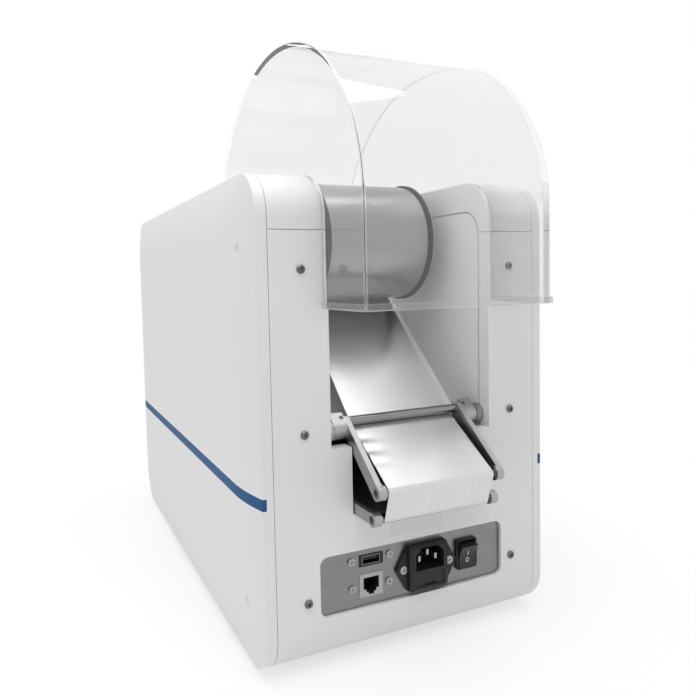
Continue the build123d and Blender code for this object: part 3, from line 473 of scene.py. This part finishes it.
def buildCover():
    arch = coverProfile()
    radius, gap = cover["caseRadius"], cover["caseGap"]
    lower = []                    # along the case top to its rear corner and down its rear face
    for step in range(cover["cornerSteps"] + 1):
        angle = math.pi / 2 * step / cover["cornerSteps"]
        inward, down = radius - radius * math.sin(angle), radius - radius * math.cos(angle)
        lower.append((inward - gap, cover["caseTop"] - down))
    lower.append((-gap, cover["rim"]))
    outline = arch + lower
    count = len(outline)
    points = [place(side * cover["half"], d, h) for side in (1, -1) for d, h in outline]
    faces = [list(range(count)), list(range(2 * count - 1, count - 1, -1))]
    for step in range(len(arch) - 1):
        faces.append([step, step + 1, count + step + 1, count + step])
    piece = meshPiece("clearCover", points, faces, clearAcrylic)
    wall = piece.modifiers.new("wall", "SOLIDIFY")
    wall.thickness = cover["wall"] / 1000
    wall.offset = -1
    wall.use_even_offset = True
    applyModifiers(piece)
    softenEdges(piece, cover["edge"])
    piece.data.materials.append(acrylicEdge)
    for face in piece.data.polygons:      # the small faces that round the corners
        if face.area < cover["edgeArea"] / 1e6 and isNarrow(piece.data, face):
            face.material_index = 1
    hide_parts("roll_cover")
    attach(piece, "cover")
    inner, outer = cover["half"] + cover["bandGap"], cover["half"] + cover["lip"]
    rear, proud = cover["rear"] - cover["bandGap"], cover["rear"] - cover["lip"]
    low, high = cover["rim"], cover["rim"] + cover["band"]
    plan = [(outer, -1), (outer, proud), (-outer, proud), (-outer, -1),
            (-inner, -1), (-inner, rear), (inner, rear), (inner, -1)]
    points = [place(x, d, h) for h in (low, high) for x, d in plan]
    faces = [[0, 1, 6, 7], [1, 2, 5, 6], [2, 3, 4, 5],
             [15, 14, 9, 8], [14, 13, 10, 9], [13, 12, 11, 10]]
    faces += [[k, (k + 1) % 8, 8 + (k + 1) % 8, 8 + k] for k in range(8)]
    band = meshPiece("coverRim", points, faces, clearAcrylic)
    softenEdges(band, cover["bandEdge"])
    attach(band, "cover")


buildCover()
print("cover built")


# Film sheets between the roll and the slot, in millimetres; each roller is depth, height and radius
path = dict(
    halfWidth=42.5, thickness=0.12, clearance=0.03, smoothAngle=60,
    roll=(88.5, 299.4, 46.7), rod=(16, 168, 3.25),
    dancer=(-31, 129.7, 3.25), lower=(-24.7, 110, 3.25),
    columns=26, webSteps=30, rodSteps=6, armSteps=34, dancerSteps=16, dropSteps=10,
    sag=1.2, edgeSag=0.4, curl=0.25, curlAcross=7, curlStart=2,
    creaseDepth=0.3, creaseSpot=0.02, creaseWidth=0.1,
    creaseStart=0.12, creaseLength=0.6, creaseAlong=34,
    ripple=0.12, rippleAcross=9, rippleAlong=5,
)


def tangentAngle(start, sideA, end, sideB, allowance):
    reach = math.hypot(end[0] - start[0], end[1] - start[1])
    turn = math.asin((sideB * (end[2] + allowance) - sideA * (start[2] + allowance)) / reach)
    return math.atan2(end[1] - start[1], end[0] - start[0]) - turn


def onRoller(roller, side, angle, allowance):
    radius = roller[2] + allowance
    return (roller[0] + side * radius * math.sin(angle),
            roller[1] - side * radius * math.cos(angle))


def straight(start, end, steps):
    return [(start[0] + (end[0] - start[0]) * k / steps, start[1] + (end[1] - start[1]) * k / steps)
            for k in range(steps + 1)]


def around(roller, side, angleA, angleB, steps, allowance):
    turn = (angleB - angleA + math.pi) % (2 * math.pi) - math.pi
    return [onRoller(roller, side, angleA + turn * k / steps, allowance) for k in range(steps + 1)]


def filmSheet(name, line, shape):
    points, faces, columns = [], [], path["columns"]
    total = sum(math.dist(a, b) for a, b in zip(line, line[1:]))
    run = 0
    for row, (d, h) in enumerate(line):
        before, after = line[max(row - 1, 0)], line[min(row + 1, len(line) - 1)]
        length = math.dist(before, after)
        across = (-(after[1] - before[1]) / length, (after[0] - before[0]) / length)
        if row:
            run += math.dist(line[row - 1], line[row])
        for column in range(columns + 1):
            share = column / columns
            lift = shape(share, run / total)
            x = path["halfWidth"] * (1 - 2 * share)
            points.append(place(x, d + across[0] * lift, h + across[1] * lift))
    for row in range(len(line) - 1):
        for column in range(columns):
            k = row * (columns + 1) + column
            faces.append([k, k + 1, k + columns + 2, k + columns + 1])
    sheet = meshPiece(name, points, faces, silverFilm)
    thick = sheet.modifiers.new("thickness", "SOLIDIFY")
    thick.thickness = path["thickness"] / 1000
    thick.offset = 0
    applyModifiers(sheet, path["smoothAngle"])
    return sheet, total


def buildFilmPath():
    allowance = path["thickness"] / 2 + path["clearance"]
    roll, rod, dancer, lower = path["roll"], path["rod"], path["dancer"], path["lower"]
    webAngle = tangentAngle(roll, -1, rod, -1, allowance)
    armAngle = tangentAngle(rod, -1, dancer, 1, allowance)
    dropAngle = tangentAngle(dancer, 1, lower, 1, allowance)

    def webShape(share, run):     # hangs a little between the roll and the rod, edges curled up
        across = path["edgeSag"] + (1 - path["edgeSag"]) * math.sin(math.pi * share)
        curl = path["curl"] * math.sin(path["curlAcross"] * share + path["curlStart"])
        return (path["sag"] * across - curl) * math.sin(math.pi * run)

    web = straight(onRoller(roll, -1, webAngle, allowance), onRoller(rod, -1, webAngle, allowance),
                   path["webSteps"])
    sheet, length = filmSheet("filmWeb", web, webShape)
    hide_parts("film_upper_span")
    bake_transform(sheet)

    def armShape(share, run):     # small creases where the left edge runs on to the bar
        nearEdge = math.exp(-((share - path["creaseSpot"]) / path["creaseWidth"]) ** 2)
        along = min(max((run - path["creaseStart"]) / path["creaseLength"], 0), 1)
        crease = nearEdge * math.sin(path["creaseAlong"] * run)
        ripple = path["ripple"] * math.sin(path["rippleAcross"] * share + path["rippleAlong"] * run)
        return path["creaseDepth"] * math.sin(math.pi * along) * (crease + ripple)

    arm = around(rod, -1, webAngle, armAngle, path["rodSteps"], allowance)
    arm += straight(arm[-1], onRoller(dancer, 1, armAngle, allowance), path["armSteps"])[1:]
    arm += around(dancer, 1, armAngle, dropAngle, path["dancerSteps"], allowance)[1:]
    sheet, length = filmSheet("filmOverArms", arm, armShape)
    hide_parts("film_arm_span")
    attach(sheet, "dancer")

    drop = straight(arm[-1], onRoller(lower, 1, dropAngle, allowance), path["dropSteps"])
    sheet, length = filmSheet("filmDrop", drop, lambda share, run: 0)
    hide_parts("film_lower_span")
    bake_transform(sheet)


buildFilmPath()
print("film threaded")


# Socket interiors: a liner with an open front, the outline of its mouth, and a row of contacts
usb = dict(
    x=36.7, height=70.2, shellWidth=14.2, shellHeight=5.8, wall=0.35, front=2.2, back=13.6,
    contacts=4, pitch=2.4, firstContact=(-3.6, 8.6, -0.12), contactSize=(1.0, 9.0, 0.12),
)
network = dict(
    x=36.9, height=52, gap=0.08, wall=0.05, front=2.5, back=14.8,
    halfMouth=((6.2, 5.5), (6.2, -3.1), (4, -3.1), (4, -5.2), (2.2, -5.2), (2.2, -6.9)),
    contacts=8, pitch=1.02, firstContact=(-3.57, 9.5, 4.9), contactSize=(0.4, 8.0, 0.3),
)


def buildTube(name, socket, outline, material, closed):
    count = len(outline)
    points = [place(socket["x"] + u, depth, socket["height"] + v)
              for depth in (socket["front"], socket["back"]) for u, v in outline]
    faces = [[k, (k + 1) % count, count + (k + 1) % count, count + k] for k in range(count)]
    if closed:
        faces.append(list(range(count, 2 * count)))
    piece = meshPiece(name, points, faces, material)
    thick = piece.modifiers.new("wall", "SOLIDIFY")
    thick.thickness = socket["wall"] / 1000
    thick.offset = -1
    applyModifiers(piece)
    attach(piece, "housing")


def buildContactRow():            # a row of equal strips, Count of them, Pitch apart along X
    tree = bpy.data.node_groups.new("contactRow", "GeometryNodeTree")
    sockets = {}
    for label, kind, value in (("Count", "NodeSocketInt", 4), ("Pitch", "NodeSocketFloat", 0.002),
                               ("Start", "NodeSocketVector", (0, 0, 0)),
                               ("Size", "NodeSocketVector", (0.001, 0.001, 0.001)),
                               ("Finish", "NodeSocketMaterial", None)):
        socket = tree.interface.new_socket(label, in_out="INPUT", socket_type=kind)
        if value is not None:
            socket.default_value = value
        sockets[label] = socket.identifier
    tree.interface.new_socket("Geometry", in_out="OUTPUT", socket_type="NodeSocketGeometry")
    inside, outside = tree.nodes.new("NodeGroupInput"), tree.nodes.new("NodeGroupOutput")
    links = tree.links
    step = tree.nodes.new("ShaderNodeCombineXYZ")
    links.new(inside.outputs["Pitch"], step.inputs["X"])
    line = tree.nodes.new("GeometryNodeMeshLine")
    links.new(inside.outputs["Count"], line.inputs["Count"])
    links.new(inside.outputs["Start"], line.inputs["Start Location"])
    links.new(step.outputs["Vector"], line.inputs["Offset"])
    strip = tree.nodes.new("GeometryNodeMeshCube")
    links.new(inside.outputs["Size"], strip.inputs["Size"])
    spread = tree.nodes.new("GeometryNodeInstanceOnPoints")
    links.new(line.outputs["Mesh"], spread.inputs["Points"])
    links.new(strip.outputs["Mesh"], spread.inputs["Instance"])
    solid = tree.nodes.new("GeometryNodeRealizeInstances")
    links.new(spread.outputs["Instances"], solid.inputs["Geometry"])
    dress = tree.nodes.new("GeometryNodeSetMaterial")
    links.new(solid.outputs["Geometry"], dress.inputs["Geometry"])
    links.new(inside.outputs["Finish"], dress.inputs["Material"])
    links.new(dress.outputs["Geometry"], outside.inputs["Geometry"])
    return tree, sockets


contactRow, contactSockets = buildContactRow()


def placeContacts(name, socket):
    piece = bpy.data.objects.new(name, bpy.data.meshes.new(name))
    bpy.context.collection.objects.link(piece)
    row = piece.modifiers.new("row", "NODES")
    row.node_group = contactRow
    across, depth, up = socket["firstContact"]
    first = place(socket["x"] + across, depth, socket["height"] + up)
    size = tuple(edge / 1000 for edge in socket["contactSize"])
    for label, value in (("Count", socket["contacts"]), ("Pitch", socket["pitch"] / 1000),
                         ("Start", tuple(first)), ("Size", size), ("Finish", goldContact)):
        row[contactSockets[label]] = value
    applyModifiers(piece)
    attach(piece, "housing")


def buildSockets():
    halfWide, halfHigh = usb["shellWidth"] / 2, usb["shellHeight"] / 2
    shell = [(-halfWide, -halfHigh), (halfWide, -halfHigh),
             (halfWide, halfHigh), (-halfWide, halfHigh)]
    buildTube("usbShell", usb, shell, portMetal, closed=False)
    placeContacts("usbContacts", usb)
    gap = network["gap"]
    half = [(u - gap, v - math.copysign(gap, v)) for u, v in network["halfMouth"]]
    mouth = half + [(-u, v) for u, v in reversed(half)]
    buildTube("networkLiner", network, mouth, blackPlastic, closed=True)
    placeContacts("networkContacts", network)


buildSockets()
print("sockets lined")


# Generic signs on the switch's rocker, laid on its saddle
rocker = dict(
    x=-45, depth=5, height=59, tilt=math.radians(-12), middle=6.0, end=7.9, half=9.0,
    sunk=0.04, proud=0.06,
)


def onRocker(u, v, lift):
    tilt = rocker["tilt"]
    out = rocker["middle"] + (rocker["end"] - rocker["middle"]) * (v / rocker["half"]) ** 2 + lift
    along = out * math.cos(tilt) - v * math.sin(tilt)
    rise = out * math.sin(tilt) + v * math.cos(tilt)
    return place(rocker["x"] + u, rocker["depth"] - along, rocker["height"] + rise)


def buildSign(name, loops):       # a thin flat ring between two closed loops of equal length
    outer, inner = loops
    count = len(outer)
    top = 2 * count
    points = [onRocker(u, v, lift) for lift in (-rocker["sunk"], rocker["proud"])
              for u, v in outer + inner]
    faces = []
    for k in range(count):
        n = (k + 1) % count
        a, b, c, d = k, n, count + n, count + k
        faces += [[top + a, top + b, top + c, top + d], [a, b, c, d],
                  [a, b, top + b, top + a], [d, c, top + c, top + d]]
    piece = meshPiece(name, points, faces, signWhite)
    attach(piece, "power_switch")


def ellipseLoop(wide, high, middle, steps=28):
    angles = [2 * math.pi * k / steps for k in range(steps)]
    return [(wide * math.cos(angle), middle + high * math.sin(angle)) for angle in angles]


buildSign("signOff", (ellipseLoop(1.5, 1.9, -3.2), ellipseLoop(1.05, 1.4, -3.2)))
buildSign("signOn", ([(-0.3, 0.8), (0.3, 0.8), (0.3, 4.2), (-0.3, 4.2)],
                     [(-0.02, 1.0), (0.02, 1.0), (0.02, 4.0), (-0.02, 4.0)]))
print("signs laid on the switch")


# Floor and light
studio = dict(
    floorTone=0.93, floorReach=4, shadowStart=0.15, shadowReach=0.36, nearGlow=0.6,
    topPower=27, topSize=1.7, topSpot=(0.25, 0.35, 1.7),
    fillPower=0.3, fillSize=1.2, fillSpot=(1.5, 0.9, 0.9), aim=(0, 0, 0.2), ambient=0.42,
)


def backgroundFactor(tree):       # one where the camera, a reflection or clear plastic sees it
    rays = tree.nodes.new("ShaderNodeLightPath")
    direct = mathNode(tree, "ADD", rays.outputs["Is Camera Ray"], rays.outputs["Is Glossy Ray"])
    seen = mathNode(tree, "ADD", direct, rays.outputs["Is Transmission Ray"])
    return mathNode(tree, "MINIMUM", seen, 1.0)


def buildStudio():
    world = bpy.data.worlds.new("studio")
    bpy.context.scene.world = world
    world.use_nodes = True
    tree = world.node_tree
    back = tree.nodes["Background"]
    level = tree.nodes.new("ShaderNodeMapRange")
    level.inputs["To Min"].default_value = studio["ambient"]
    level.inputs["To Max"].default_value = 1.0
    tree.links.new(backgroundFactor(tree), level.inputs["Value"])
    tree.links.new(level.outputs["Result"], back.inputs["Strength"])
    back.inputs["Color"].default_value = (1, 1, 1, 1)

    material = bpy.data.materials.new("studioFloor")
    material.use_nodes = True
    tree = material.node_tree
    tree.nodes.clear()
    output = tree.nodes.new("ShaderNodeOutputMaterial")
    diffuse = tree.nodes.new("ShaderNodeBsdfDiffuse")
    diffuse.inputs["Color"].default_value = (studio["floorTone"],) * 3 + (1,)
    glow = tree.nodes.new("ShaderNodeEmission")
    mix = tree.nodes.new("ShaderNodeMixShader")
    distance = tree.nodes.new("ShaderNodeVectorMath")
    distance.operation = "LENGTH"
    tree.links.new(tree.nodes.new("ShaderNodeTexCoord").outputs["Object"], distance.inputs[0])
    fade = tree.nodes.new("ShaderNodeMapRange")
    fade.inputs["From Min"].default_value = studio["shadowStart"]
    fade.inputs["From Max"].default_value = studio["shadowReach"]
    fade.inputs["To Min"].default_value = studio["nearGlow"]
    fade.inputs["To Max"].default_value = 1.0
    tree.links.new(distance.outputs["Value"], fade.inputs["Value"])
    factor = mathNode(tree, "MULTIPLY", fade.outputs["Result"], backgroundFactor(tree))
    tree.links.new(factor, mix.inputs["Fac"])
    tree.links.new(diffuse.outputs[0], mix.inputs[1])
    tree.links.new(glow.outputs[0], mix.inputs[2])
    tree.links.new(mix.outputs[0], output.inputs["Surface"])
    reach = studio["floorReach"]
    corners = [(-reach, -reach, 0), (reach, -reach, 0), (reach, reach, 0), (-reach, reach, 0)]
    meshPiece("studioFloor", corners, [[0, 1, 2, 3]], material)

    lamps = (("topLight", studio["topPower"], studio["topSize"], studio["topSpot"]),
             ("fillLight", studio["fillPower"], studio["fillSize"], studio["fillSpot"]))
    for name, power, size, spot in lamps:
        light = bpy.data.lights.new(name, "AREA")
        light.energy, light.size = power, size
        lamp = bpy.data.objects.new(name, light)
        lamp.location = spot
        aim = Vector(studio["aim"]) - Vector(spot)
        lamp.rotation_euler = aim.to_track_quat("-Z", "Y").to_euler()
        bpy.context.collection.objects.link(lamp)
    bpy.context.scene.view_settings.view_transform = "Standard"


buildStudio()
print("studio lit")
